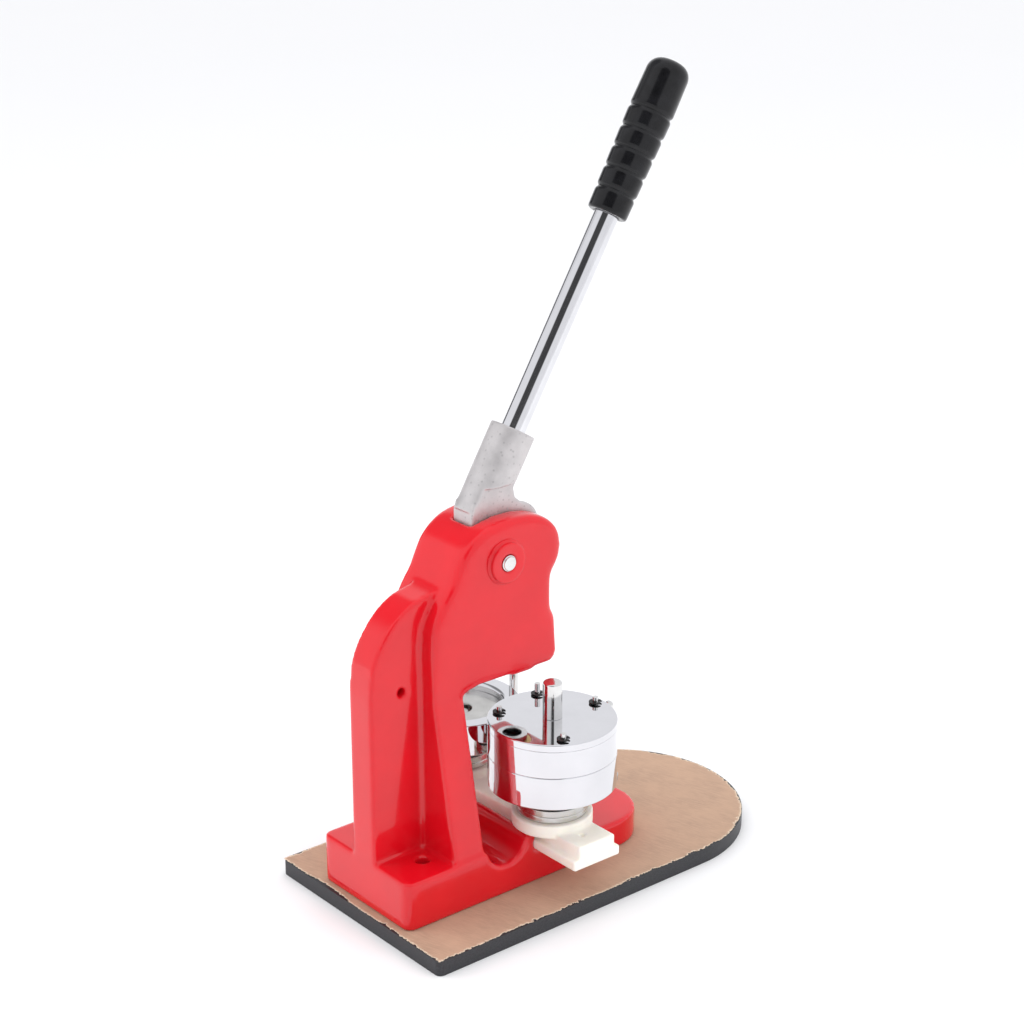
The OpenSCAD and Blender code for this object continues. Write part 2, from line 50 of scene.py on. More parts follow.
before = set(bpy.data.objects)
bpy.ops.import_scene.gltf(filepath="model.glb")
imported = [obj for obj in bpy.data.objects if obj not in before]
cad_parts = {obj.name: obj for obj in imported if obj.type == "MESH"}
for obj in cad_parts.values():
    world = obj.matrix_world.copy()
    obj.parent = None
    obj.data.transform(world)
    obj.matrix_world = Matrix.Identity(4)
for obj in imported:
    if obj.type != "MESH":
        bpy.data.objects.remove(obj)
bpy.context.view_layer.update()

LEAN = math.radians(31.2)  # the raised lever's lean from upright
LEVER_WAY = Vector((0, math.sin(LEAN), math.cos(LEAN)))
SOCKET_TOP = Vector((0, -0.0241, 0.2866))  # top of the lever's rod socket
DIE_AXIS = (0.0381, -0.0252, 0)  # the upper die's axis, round which the bright steel is turned
SHARP = math.radians(32)  # edges that turn more than this are broken
CREASE = math.radians(50)  # edges that turn more than this stay crisp in shading
FINE = 0.0003  # broken edge on screws, nuts, washers, brackets and small pins
ROUND = 0.0004  # broken edge on the pivot pin, the rod and the upper die's post
FLAT = math.radians(0.6)  # faces that turn less than this are joined in one


# ---------------------------------------------------------------- settings


class PressFinish(PropertyGroup):
    """Colours and surface values of the machine."""

    enamel: FloatVectorProperty(
        name="Enamel", description="Colour of the stove enamel on the frame casting",
        subtype="COLOR", size=3, min=0, max=1, default=(0.68, 0.005, 0.013))
    enamel_gloss: FloatProperty(
        name="Enamel roughness", description="Roughness of the enamel's surface",
        default=0.16, min=0, max=1, subtype="FACTOR")
    alloy: FloatVectorProperty(
        name="Cast alloy", description="Colour of the bare lever casting",
        subtype="COLOR", size=3, min=0, max=1, default=(0.60, 0.575, 0.575))
    chrome: FloatVectorProperty(
        name="Chrome", description="Tint of the plated dies and rod",
        subtype="COLOR", size=3, min=0, max=1, default=(0.75, 0.75, 0.775))
    nylon: FloatVectorProperty(
        name="Nylon", description="Colour of the slide bar",
        subtype="COLOR", size=3, min=0, max=1, default=(0.97, 0.92, 0.83))
    kraft: FloatVectorProperty(
        name="Kraft paper", description="Colour of the protective paper",
        subtype="COLOR", size=3, min=0, max=1, default=(0.455, 0.295, 0.20))
    board: FloatVectorProperty(
        name="Board", description="Colour of the board under its paper",
        subtype="COLOR", size=3, min=0, max=1, default=(0.022, 0.022, 0.026))
    vinyl: FloatVectorProperty(
        name="Grip", description="Colour of the dipped grip",
        subtype="COLOR", size=3, min=0, max=1, default=(0.006, 0.006, 0.007))


class PressEdges(PropertyGroup):
    """How cast and moulded parts are softened and turned edges broken."""

    cast_cell: FloatProperty(
        name="Casting cell", description="Mesh cell of the frame casting",
        default=0.00118, min=0.0005, max=0.004, unit="LENGTH")
    cast_passes: IntProperty(
        name="Casting softening", description="Passes that round the cast edges",
        default=14, min=0, max=60)
    head_half: FloatProperty(
        name="Head half width", description="Half the width of the casting's head between its bosses",
        default=0.0229, min=0.015, max=0.03, unit="LENGTH")
    crown_passes: IntProperty(
        name="Head crown", description="Extra passes that round the head's upper edges",
        default=60, min=0, max=200)
    lever_cell: FloatProperty(
        name="Lever cell", description="Mesh cell of the lever casting",
        default=0.0006, min=0.0003, max=0.002, unit="LENGTH")
    lever_passes: IntProperty(
        name="Lever softening", description="Passes that round the lever casting's edges",
        default=12, min=0, max=60)
    turned: FloatProperty(
        name="Turned edge", description="Broken edge on turned parts",
        default=0.0008, min=0, max=0.002, unit="LENGTH")
    moulded: FloatProperty(
        name="Nylon cell", description="Mesh cell of the nylon bar",
        default=0.00062, min=0.0004, max=0.002, unit="LENGTH")
    moulded_passes: IntProperty(
        name="Nylon softening", description="Passes that round the nylon bar's edges",
        default=14, min=0, max=60)


class PressGrip(PropertyGroup):
    """Shape of the ribbed grip."""

    dome: FloatProperty(
        name="End dome", description="Height of the grip's rounded end",
        default=0.009, min=0.002, max=0.02, unit="LENGTH")
    groove: FloatProperty(
        name="Groove depth", description="Depth of each finger groove",
        default=0.0012, min=0.0003, max=0.003, unit="LENGTH")
    width: FloatProperty(
        name="Groove width", description="Half width of each groove",
        default=0.00125, min=0.0005, max=0.004, unit="LENGTH")
    ribs: IntProperty(name="Grooves", description="How many grooves the grip has", default=5, min=1, max=9)


class PressPaper(PropertyGroup):
    """The protective paper's torn edge."""

    cell: FloatProperty(
        name="Paper cell", description="Mesh cell of the sheet",
        default=0.0006, min=0.0005, max=0.004, unit="LENGTH")
    tear: FloatProperty(
        name="Tear", description="How far the torn edge wanders from the board's edge",
        default=0.0032, min=0, max=0.01, unit="LENGTH")


class PressStage(PropertyGroup):
    """Camera and light."""

    turn: FloatProperty(
        name="Camera turn", description="Turn of the camera round the machine",
        default=math.radians(50.49), subtype="ANGLE", unit="ROTATION")
    rise: FloatProperty(
        name="Camera pitch", description="Downward pitch of the camera",
        default=math.radians(20.47), subtype="ANGLE", unit="ROTATION")
    roll: FloatProperty(
        name="Camera roll", description="Roll of the camera about its axis",
        default=math.radians(-0.08), subtype="ANGLE", unit="ROTATION")
    place: FloatVectorProperty(
        name="Camera place", description="Where the camera stands",
        size=3, subtype="TRANSLATION", unit="LENGTH", default=(0.99722, -0.84741, 0.71720))
    lens: FloatProperty(
        name="Lens", description="Focal length in millimetres on a 36 mm sensor",
        default=81.43, min=20, max=300)
    floor: FloatVectorProperty(
        name="Floor", description="Colour of the floor",
        subtype="COLOR", size=3, min=0, max=1, default=(0.89, 0.89, 0.89))
    sky: FloatProperty(
        name="Room light", description="Strength of the even light from all round",
        default=0.96, min=0, max=5)
    wash: FloatProperty(
        name="Wash", description="How much brighter the room lights surfaces than it shows in reflections",
        default=1.16, min=0.5, max=3)
    key: FloatProperty(
        name="Soft box", description="Power of the large soft box in watts",
        default=7.0, min=0, max=500)


# ---------------------------------------------------------------- materials


class Finish:
    """A node material on Object coordinates with a few shorthand steps."""

    def __init__(self, name, color, rough, metal=0.0, **sockets):
        self.mat = bpy.data.materials.new(name)
        self.mat.use_nodes = True
        self.nodes = self.mat.node_tree.nodes
        self.links = self.mat.node_tree.links
        self.bsdf = next(n for n in self.nodes if n.type == "BSDF_PRINCIPLED")
        self.bsdf.inputs["Base Color"].default_value = (*color, 1)
        self.bsdf.inputs["Roughness"].default_value = rough
        self.bsdf.inputs["Metallic"].default_value = metal
        for key, value in sockets.items():
            self.bsdf.inputs[key.replace("_", " ")].default_value = value
        self.coord = self.nodes.new("ShaderNodeTexCoord")
        self.height = None
        self.mat.diffuse_color = (*color, 1)

    def mapped(self, scale, at=(0, 0, 0), turn=(0, 0, 0)):
        """Object coordinates centred on at, turned and divided by scale."""
        node = self.nodes.new("ShaderNodeMapping")
        node.vector_type = "TEXTURE"
        node.inputs["Location"].default_value = at
        node.inputs["Rotation"].default_value = turn
        node.inputs["Scale"].default_value = scale
        self.links.new(self.coord.outputs["Object"], node.inputs["Vector"])
        return node.outputs["Vector"]

    def grain(self, size, detail=4.0, rough=0.55, stretch=(1, 1, 1), turn=(0, 0, 0)):
        """Noise whose lumps are about size metres across, stretched along an axis."""
        node = self.nodes.new("ShaderNodeTexNoise")
        node.inputs["Scale"].default_value = 1.0
        node.inputs["Detail"].default_value = detail
        node.inputs["Roughness"].default_value = rough
        place = self.mapped(tuple(size * s for s in stretch), turn=turn)
        self.links.new(place, node.inputs["Vector"])
        return node.outputs["Fac"]

    def spots(self, size):
        """Cells about size metres across, dark at their middles."""
        node = self.nodes.new("ShaderNodeTexVoronoi")
        node.inputs["Scale"].default_value = 1.0
        self.links.new(self.mapped((size, size, size)), node.inputs["Vector"])
        return node.outputs["Distance"]

    def rings(self, centre, axis, pitch):
        """Fine turning marks round an axis through centre."""
        turn = {"Z": (0, 0, 0), "X": (0, math.radians(90), 0)}[axis]
        node = self.nodes.new("ShaderNodeTexWave")
        node.wave_type = "RINGS"
        node.rings_direction = "Z"
        node.inputs["Scale"].default_value = 0.3
        node.inputs["Distortion"].default_value = 0.4
        node.inputs["Detail"].default_value = 3
        self.links.new(self.mapped((pitch, pitch, pitch), centre, turn), node.inputs["Vector"])
        return node.outputs["Fac"]

    def spread(self, value, low, high, out_low=0.0, out_high=1.0):
        """Maps a value from low..high to out_low..out_high."""
        node = self.nodes.new("ShaderNodeMapRange")
        for key, v in (("From Min", low), ("From Max", high), ("To Min", out_low), ("To Max", out_high)):
            node.inputs[key].default_value = v
        self.links.new(value, node.inputs["Value"])
        return node.outputs["Result"]

    def blend(self, factor, one, two):
        """Colour one where factor is 0 and two where it is 1; each is a colour or an output."""
        node = self.nodes.new("ShaderNodeMix")
        node.data_type = "RGBA"
        self.links.new(factor, node.inputs["Factor"])
        colours = [s for s in node.inputs if s.type == "RGBA"]
        for socket, value in zip(colours, (one, two)):
            if isinstance(value, tuple):
                socket.default_value = (*value[:3], 1)
            else:
                self.links.new(value, socket)
        return next(s for s in node.outputs if s.type == "RGBA")

    def color(self, output):
        self.links.new(output, self.bsdf.inputs["Base Color"])

    def rough(self, value, low, high, out_low, out_high):
        spread = self.spread(value, low, high, out_low, out_high)
        self.links.new(spread, self.bsdf.inputs["Roughness"])

    def bump(self, value, depth, strength=1.0):
        """Adds a height of depth metres from value; several stack."""
        node = self.nodes.new("ShaderNodeBump")
        node.inputs["Strength"].default_value = strength
        node.inputs["Distance"].default_value = depth
        self.links.new(value, node.inputs["Height"])
        if self.height:
            self.links.new(self.height, node.inputs["Normal"])
        self.height = node.outputs["Normal"]
        self.links.new(self.height, self.bsdf.inputs["Normal"])


def tint(color, factor):
    """The colour made lighter or darker by factor."""
    return tuple(min(1.0, c * factor) for c in color)


FINISHES = {}


def finish(name):
    """The named finish, made once."""
    if name not in FINISHES:
        FINISHES[name] = MAKERS[name](bpy.context.scene.press_finish)
    return FINISHES[name]


def make_enamel(p):
    c = tuple(p.enamel)
    f = Finish("stove_enamel", c, p.enamel_gloss, Coat_Weight=0.5, Coat_Roughness=0.04, Coat_IOR=1.5,
               Specular_IOR_Level=0.3)
    pool = f.grain(0.03, 3)
    f.color(f.blend(f.spread(pool, 0.35, 0.7), tint(c, 0.96), tint(c, 1.04)))
    f.rough(f.grain(0.006, 5), 0.3, 0.75, p.enamel_gloss * 0.8, p.enamel_gloss * 1.35)
    f.bump(f.grain(0.012, 2, 0.4), 0.00022, 0.5)
    f.bump(f.grain(0.0016, 2, 0.4), 0.00002, 0.35)
    return f.mat


def make_alloy(p):
    c = tuple(p.alloy)
    f = Finish("cast_alloy", c, 0.42, 0.6)
    cloud = f.grain(0.012, 6, 0.6)
    fine = f.grain(0.0011, 5, 0.65)
    stain = f.blend(f.spread(cloud, 0.35, 0.7), tint(c, 0.9), tint(c, 1.1))
    f.color(f.blend(f.spread(f.spots(0.0032), 0.0, 0.28), tint(c, 0.66), stain))
    f.rough(cloud, 0.3, 0.75, 0.38, 0.52)
    f.bump(f.grain(0.004, 4, 0.6), 0.00025, 0.6)
    f.bump(fine, 0.00008, 0.8)
    return f.mat


def make_mirror(p):
    c = tuple(p.chrome)
    f = Finish("mirror_chrome", c, 0.03, 1.0)
    haze = f.grain(0.02, 4)
    f.color(f.blend(f.spread(haze, 0.3, 0.75), tint(c, 0.97), tint(c, 1.03)))
    f.rough(f.grain(0.004, 6, 0.6), 0.35, 0.8, 0.022, 0.075)
    f.bump(f.grain(0.03, 2, 0.4), 0.00006, 0.3)
    return f.mat


def make_rod_chrome(p):
    c = tuple(p.chrome)
    f = Finish("rod_chrome", c, 0.05, 1.0)
    f.color(f.blend(f.spread(f.grain(0.015, 4), 0.3, 0.75), tint(c, 0.95), tint(c, 1.03)))
    along = (-LEAN, 0, 0)
    f.rough(f.grain(0.0015, 5, 0.6, (1, 1, 14), along), 0.35, 0.8, 0.04, 0.12)
    f.bump(f.grain(0.0008, 3, 0.5, (1, 1, 20), along), 0.000012, 0.5)
    return f.mat


def middle(node):
    """The middle of a machine node's box."""
    lo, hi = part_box(node)
    return [(a + b) / 2 for a, b in zip(lo, hi)]


def turned(name, c, rough, centre, axis, pitch=0.0009, depth=0.00001):
    """Turned steel with fine marks round an axis."""
    f = Finish(name, c, rough, 1.0)
    marks = f.rings(centre, axis, pitch)
    f.color(f.blend(f.spread(f.grain(0.01, 5), 0.3, 0.75), tint(c, 0.86), tint(c, 1.06)))
    f.rough(marks, 0.0, 1.0, rough * 0.8, rough * 1.5)
    f.bump(marks, depth, 0.5)
    f.bump(f.grain(0.0006, 3), depth * 0.6, 0.4)
    return f.mat


def die_steel(side):
    """Turned steel with its marks round one lower die."""
    x, y, _ = middle(side + "_die_base")
    return turned("turned_steel_" + side, (0.62, 0.61, 0.59), 0.2, (x, y, 0), "Z")


def make_front_steel(p):
    return die_steel("front")


def make_rear_steel(p):
    return die_steel("rear")


def make_ram_steel(p):
    return turned("ground_ram_steel", (0.68, 0.67, 0.66), 0.16, (0, middle("ram")[1], 0), "Z", 0.0006)


def make_bright_steel(p):
    return turned("bright_steel", (0.78, 0.78, 0.77), 0.09, DIE_AXIS, "Z", 0.0012, 0.000006)


def make_pin_steel(p):
    _, y, z = middle("pivot_pin")
    return turned("pin_end_steel", (0.80, 0.80, 0.79), 0.22, (0, y, z), "X", 0.0008, 0.00002)


def make_zinc(p):
    f = Finish("zinc_plate", (0.60, 0.61, 0.60), 0.3, 1.0)
    f.color(f.blend(f.spread(f.spots(0.004), 0.1, 0.7), (0.50, 0.51, 0.50), (0.66, 0.66, 0.63)))
    f.rough(f.grain(0.003, 5), 0.3, 0.75, 0.24, 0.42)
    f.bump(f.grain(0.0009, 3), 0.00002, 0.5)
    return f.mat


def make_black_oxide(p):
    f = Finish("black_oxide", (0.02, 0.02, 0.022), 0.34, 0.6)
    f.color(f.blend(f.spread(f.grain(0.002, 5), 0.4, 0.75), (0.012, 0.012, 0.013), (0.045, 0.043, 0.04)))
    f.rough(f.grain(0.0012, 4), 0.3, 0.75, 0.26, 0.46)
    f.bump(f.grain(0.0007, 3), 0.00002, 0.5)
    return f.mat


def make_bronze(p):
    f = Finish("bush_bronze", (0.55, 0.36, 0.14), 0.32, 1.0)
    f.color(f.blend(f.spread(f.grain(0.004, 5), 0.3, 0.75), (0.44, 0.27, 0.10), (0.62, 0.43, 0.19)))
    f.rough(f.grain(0.0012, 4), 0.3, 0.75, 0.26, 0.42)
    f.bump(f.grain(0.0006, 3), 0.00002, 0.5)
    return f.mat


def make_spring_steel(p):
    f = Finish("spring_wire", (0.20, 0.20, 0.21), 0.3, 1.0)
    f.color(f.blend(f.spread(f.grain(0.003, 5), 0.3, 0.75), (0.12, 0.12, 0.13), (0.26, 0.25, 0.24)))
    f.rough(f.grain(0.001, 4), 0.3, 0.75, 0.24, 0.4)
    f.bump(f.grain(0.0005, 3), 0.00001, 0.5)
    return f.mat


def make_nylon(p):
    c = tuple(p.nylon)
    f = Finish("cast_nylon", c, 0.4, Subsurface_Weight=0.25, Subsurface_Scale=0.004, IOR=1.53)
    f.bsdf.inputs["Subsurface Radius"].default_value = (1.0, 0.8, 0.5)
    cloud = f.grain(0.02, 4)
    f.color(f.blend(f.spread(cloud, 0.35, 0.72), tint(c, 0.93), tint(c, 1.05)))
    f.rough(f.grain(0.002, 5, 0.6, (6, 1, 1)), 0.3, 0.75, 0.32, 0.5)
    f.bump(f.grain(0.0011, 4, 0.6, (14, 1, 1)), 0.00004, 0.5)
    f.bump(f.grain(0.008, 3), 0.00012, 0.4)
    return f.mat


def make_kraft(p):
    c = tuple(p.kraft)
    f = Finish("kraft_paper", c, 0.82, Sheen_Weight=0.08)
    fibre = f.grain(0.0011, 6, 0.7, (7, 1, 1), turn=(0, 0, 0.3))
    cross = f.grain(0.0009, 5, 0.7, (1, 6, 1), turn=(0, 0, -0.5))
    mottle = f.grain(0.02, 5, 0.6)
    base = f.blend(f.spread(mottle, 0.3, 0.75), tint(c, 0.86), tint(c, 1.12))
    fibred = f.blend(f.spread(fibre, 0.42, 0.7), base, tint(c, 1.13))
    torn = f.nodes.new("ShaderNodeAttribute")
    torn.attribute_name = "torn"
    crossed = f.blend(f.spread(cross, 0.6, 0.8, 0, 0.5), fibred, tint(c, 0.82))
    f.color(f.blend(torn.outputs["Fac"], crossed, (0.78, 0.64, 0.48)))
    f.rough(mottle, 0.3, 0.75, 0.74, 0.9)
    f.bump(fibre, 0.00005, 0.6)
    f.bump(cross, 0.00004, 0.5)
    return f.mat


def make_board(p):
    c = tuple(p.board)
    f = Finish("black_board", c, 0.45)
    chips = f.grain(0.0014, 6, 0.65, (1, 1, 0.5))
    f.color(f.blend(f.spread(chips, 0.4, 0.75), tint(c, 0.6), tint(c, 2.1)))
    f.rough(chips, 0.3, 0.75, 0.36, 0.6)
    f.bump(chips, 0.00008, 0.6)
    return f.mat


def make_vinyl(p):
    c = tuple(p.vinyl)
    f = Finish("dipped_vinyl", c, 0.2, Coat_Weight=0.25, Coat_Roughness=0.08, Specular_IOR_Level=0.2)
    f.color(f.blend(f.spread(f.grain(0.008, 4), 0.35, 0.75), tint(c, 0.8), tint(c, 2.0)))
    f.rough(f.grain(0.003, 6, 0.65), 0.3, 0.8, 0.13, 0.3)
    f.bump(f.grain(0.006, 3, 0.5), 0.00012, 0.45)
    return f.mat


MAKERS = {
    "enamel": make_enamel, "alloy": make_alloy, "mirror": make_mirror, "rod_chrome": make_rod_chrome,
    "front_steel": make_front_steel, "rear_steel": make_rear_steel, "ram_steel": make_ram_steel,
    "bright_steel": make_bright_steel, "pin_steel": make_pin_steel, "zinc": make_zinc,
    "black_oxide": make_black_oxide, "bronze": make_bronze, "spring_steel": make_spring_steel,
    "nylon": make_nylon, "kraft": make_kraft, "board": make_board, "vinyl": make_vinyl,
}


# ---------------------------------------------------------------- mesh helpers


def put(name, bm, surface, body, nodes=()):
    """Makes a piece from a bmesh, gives it its finish and hangs it on its body."""
    mesh = bpy.data.meshes.new(name)
    bm.to_mesh(mesh)
    bm.free()
    mesh.materials.append(finish(surface))
    for poly in mesh.polygons:
        poly.use_smooth = True
    piece = bpy.data.objects.new(name, mesh)
    bpy.context.scene.collection.objects.link(piece)
    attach(piece, body)
    if nodes:
        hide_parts(*nodes)
    return piece


def settle(piece):
    """Bakes a piece's modifiers into its mesh."""
    bpy.context.view_layer.update()
    ready = bpy.data.meshes.new_from_object(piece.evaluated_get(bpy.context.evaluated_depsgraph_get()))
    old = piece.data
    piece.modifiers.clear()
    piece.data = ready
    ready.name = piece.name
    bpy.data.meshes.remove(old)
    return piece


def merged(node):
    """A merged copy of a machine node's mesh."""
    bm = bmesh.new()
    bm.from_mesh(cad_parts[node].data)
    bmesh.ops.remove_doubles(bm, verts=bm.verts, dist=4e-6)
    return bm


def broken_edges(node, width, surface, body):
    """The node's shape with its sharp edges broken to width."""
    bm = merged(node)
    bmesh.ops.dissolve_limit(bm, angle_limit=FLAT, verts=bm.verts, edges=bm.edges)
    sharp = [e for e in bm.edges if len(e.link_faces) == 2 and e.calc_face_angle(0) > SHARP]
    if sharp:
        bmesh.ops.bevel(bm, geom=sharp, offset=width, offset_type="OFFSET", affect="EDGES",
                        segments=3, profile=0.5, material=-1, clamp_overlap=True)
    piece = put(node + "_finished", bm, surface, body, (node,))
    piece.data.set_sharp_from_angle(angle=CREASE)
    weigh = piece.modifiers.new("Weighted", "WEIGHTED_NORMAL")
    weigh.keep_sharp = True
    return settle(piece)


def swell(bm, grow):
    """Moves a shape's faces out by about grow."""
    bmesh.ops.dissolve_limit(bm, angle_limit=FLAT, verts=bm.verts, edges=bm.edges)
    bmesh.ops.recalc_face_normals(bm, faces=bm.faces)
    bm.normal_update()
    moves = {}
    for v in bm.verts:
        ways = []
        for face in v.link_faces:
            if all(face.normal.dot(w) < 0.94 for w in ways):  # within 20 degrees counts as one way
                ways.append(face.normal.copy())
        moves[v] = sum(ways[:3], Vector())
    for v, way in moves.items():
        v.co += way * grow


def cast_copy(name, nodes, cell, passes, surface, body, grow=0.0, ease=None, ease_passes=0, half=None):
    """The nodes' shapes joined in one even skin and softened like a casting.

    grow swells each shape first, so that shapes which only touch become one
    and the softening doesn't thin them. ease(co) is how far a spot takes part
    in the further ease_passes, from 0 to 1. half keeps the last node within
    that distance of the middle plane, where turned bosses are added.
    """
    bm = bmesh.new()
    for node in nodes:
        one = merged(node)
        if half and node == nodes[-1]:
            for v in one.verts:
                v.co.x = max(-half, min(half, v.co.x))
        if grow:
            swell(one, grow)
        held = bpy.data.meshes.new("held")
        one.to_mesh(held)
        one.free()
        bm.from_mesh(held)
        bpy.data.meshes.remove(held)
    bmesh.ops.triangulate(bm, faces=bm.faces)
    piece = put(name, bm, surface, body, nodes)
    skin = piece.modifiers.new("Skin", "REMESH")
    skin.mode = "VOXEL"
    skin.voxel_size = cell
    skin.adaptivity = 0.0
    soft = piece.modifiers.new("Soft", "SMOOTH")
    soft.factor = 0.5
    soft.iterations = passes
    settle(piece)
    if ease:
        group = piece.vertex_groups.new(name="ease")
        for v in piece.data.vertices:
            weight = ease(v.co)
            if weight > 0:
                group.add([v.index], weight, "REPLACE")
        more = piece.modifiers.new("Ease", "SMOOTH")
        more.factor = 0.5
        more.iterations = ease_passes
        more.vertex_group = "ease"
        settle(piece)
        piece.vertex_groups.clear()
    for poly in piece.data.polygons:
        poly.use_smooth = True
    return piece


def lathe(profile, steps, loop=False):
    """Spins (radius, height) points about the Z axis; loop closes the outline first."""
    bm = bmesh.new()
    verts = [bm.verts.new((r, 0, z)) for r, z in profile]
    for a, b in zip(verts, verts[1:] + verts[:1] if loop else verts[1:]):
        bm.edges.new((a, b))
    bmesh.ops.spin(bm, geom=bm.verts[:] + bm.edges[:], cent=(0, 0, 0), axis=(0, 0, 1),
                   angle=math.tau, steps=steps, use_merge=True, use_duplicate=False)
    bmesh.ops.remove_doubles(bm, verts=bm.verts, dist=1e-6)
    bmesh.ops.recalc_face_normals(bm, faces=bm.faces)
    return bm


def ramp(value, start, run):
    """0 up to start, 1 from start + run on, and evenly between."""
    return min(1.0, max(0.0, (value - start) / run))


def dress(node, surface):
    """Gives a machine node that keeps its shape its finish."""
    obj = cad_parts[node]
    if not obj.data.materials:
        obj.data.materials.append(None)
    for i in range(len(obj.data.materials)):
        obj.data.materials[i] = finish(surface)


# ---------------------------------------------------------------- pieces


class PRESS_OT_board(Operator):
    """Adds the board and the torn protective paper on it."""

    bl_idname = "press.board"
    bl_label = "Board and Paper"

    def execute(self, context):
        broken_edges("baseboard", 0.0007, "board", "frame")
        self.paper(context.scene.press_paper)
        return {"FINISHED"}

    def inside(self, x, y, lo, hi, half):
        """How far a point is inside the board's outline, and the way out."""
        cy = hi[1] - half
        if y > cy:
            d = Vector((x, y - cy))
            return half - d.length, d.normalized() if d.length > 1e-6 else Vector((0, 1))
        sides = [(x - lo[0], Vector((-1, 0))), (hi[0] - x, Vector((1, 0))),
                 (y - lo[1], Vector((0, -1)))]
        return min(sides, key=lambda s: s[0])

    def paper(self, p):
        """The sheet: a fine grid torn back round its edge, with one large face inside."""
        lo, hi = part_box("baseboard")
        across, along = hi[0] - lo[0], hi[1] - lo[1]
        half = across / 2
        x, y, _ = middle("baseboard")
        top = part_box("protective_paper")[1][2] - 0.00005
        pale = 0.0010  # how far the pale torn fibres reach in
        calm = 0.008  # deeper in than this the sheet needs no grid
        bm = bmesh.new()
        nx, ny = round(across / p.cell), round(along / p.cell)
        bmesh.ops.create_grid(bm, x_segments=nx, y_segments=ny, size=0.5)
        bmesh.ops.scale(bm, verts=bm.verts, vec=(across, along, 1))
        bmesh.ops.translate(bm, verts=bm.verts, vec=(x, y, top))

        def depth(co):
            """How far a spot is inside the board's outline."""
            return self.inside(co.x, co.y, lo, hi, half)[0]

        def margin(v):
            """How far the torn edge stands in from the board's edge here."""
            slow = noise.noise(Vector((v.x * 30, v.y * 30, 3.1)))
            mid = noise.noise(Vector((v.x * 95, v.y * 95, 8.7)))
            fine = noise.noise(Vector((v.x * 420, v.y * 420, 1.9)))
            hair = abs(noise.noise(Vector((v.x * 1100, v.y * 1100, 5.2))))
            bite = max(0.0, 0.08 + 0.8 * slow + 0.6 * mid + 0.5 * fine)
            return 0.0001 + p.tear * bite + 0.0017 * hair

        away = [f for f in bm.faces if depth(f.calc_center_median()) < margin(f.calc_center_median())]
        bmesh.ops.delete(bm, geom=away, context="FACES")
        rim = [v for v in bm.verts if v.is_boundary]
        for v in rim:
            d, out = self.inside(v.co.x, v.co.y, lo, hi, half)
            shift = max(-p.cell, min(p.cell, d - margin(v.co)))
            v.co.x += out.x * shift
            v.co.y += out.y * shift
        layer = bm.verts.layers.float.new("torn")
        for v in bm.verts:
            edge = depth(v.co) - margin(v.co)
            v[layer] = 1.0 if v.is_boundary else max(0.0, 1.0 - edge / pale)
        plain = [f for f in bm.faces if all(depth(v.co) > calm for v in f.verts)]
        bmesh.ops.dissolve_faces(bm, faces=plain, use_verts=False)
        piece = put("kraft_sheet", bm, "kraft", "frame", ("protective_paper",))
        thick = piece.modifiers.new("Thickness", "SOLIDIFY")
        thick.thickness = 0.0002
        thick.offset = -1
        settle(piece)


class PRESS_OT_casting(Operator):
    """Adds the enamelled C-frame casting."""

    bl_idname = "press.casting"
    bl_label = "Frame Casting"

    def execute(self, context):
        p = context.scene.press_edges
        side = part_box("column_gusset")[1][2]
        centre = Vector(middle("pivot_pin")[1:])

        def crown(co):
            """The head's upper outer edges, away from the bosses and the lever's slot."""
            high = ramp(co.z - side, 0.012, 0.02)
            out = ramp(abs(co.x), 0.0128, 0.004)
            clear = ramp((Vector((co.y, co.z)) - centre).length, 0.0165, 0.004)
            return high * out * clear

        cast_copy("frame_casting", ("base_casting", "column_web", "column_gusset", "head_casting"),
                  p.cast_cell, p.cast_passes, "enamel", "frame",
                  grow=0.0004, ease=crown, ease_passes=p.crown_passes, half=p.head_half)
        for name, way in (("boss_right", 1), ("boss_left", -1)):
            self.boss(name, way, centre)
        return {"FINISHED"}

    def boss(self, name, way, centre):
        """A turned boss with a small step and a broken edge, round the pivot pin."""
        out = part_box("head_casting")[1][0]
        root, foot, face, bore = 0.0075, 0.0140, 0.0123, 0.0052
        outline = [(bore, root), (0.0136, root), (foot, 0.0070), (foot, 0.0031), (0.0137, 0.0027),
                   (0.0126, 0.0026), (face, 0.0023), (face, 0.0007), (0.0122, 0.0003),
                   (0.0118, 0.0001), (0.0112, 0.0001), (0.0066, 0.0001), (0.0056, 0.0004), (bore, 0.0010)]
        bm = lathe([(r, out - deep) for r, deep in outline], 128, loop=True)
        bmesh.ops.rotate(bm, verts=bm.verts, cent=(0, 0, 0), matrix=Matrix.Rotation(math.radians(90), 3, "Y"))
        if way < 0:
            half_turn = Matrix.Rotation(math.radians(180), 3, "Z")
            bmesh.ops.rotate(bm, verts=bm.verts, cent=(0, 0, 0), matrix=half_turn)
        bmesh.ops.translate(bm, verts=bm.verts, vec=(0, centre[0], centre[1]))
        piece = put(name, bm, "enamel", "frame")
        piece.data.set_sharp_from_angle(angle=CREASE)


class PRESS_OT_fixings(Operator):
    """Finishes the screws, washers, nuts, pins and bushes."""

    bl_idname = "press.fixings"
    bl_label = "Screws and Pins"

    def execute(self, context):
        for node in ("base_bolts", "base_washers", "base_nuts"):
            broken_edges(node, FINE, "zinc", "frame")
        broken_edges("pivot_pin", ROUND, "pin_steel", "frame")
        dress("ram_bush", "bronze")
        dress("pivot_bushes", "bronze")
        dress("hub_washers", "nylon")
        dress("crank_pin", "pin_steel")
        dress("crank_roller", "pin_steel")
        dress("rod_set_screw", "black_oxide")
        return {"FINISHED"}


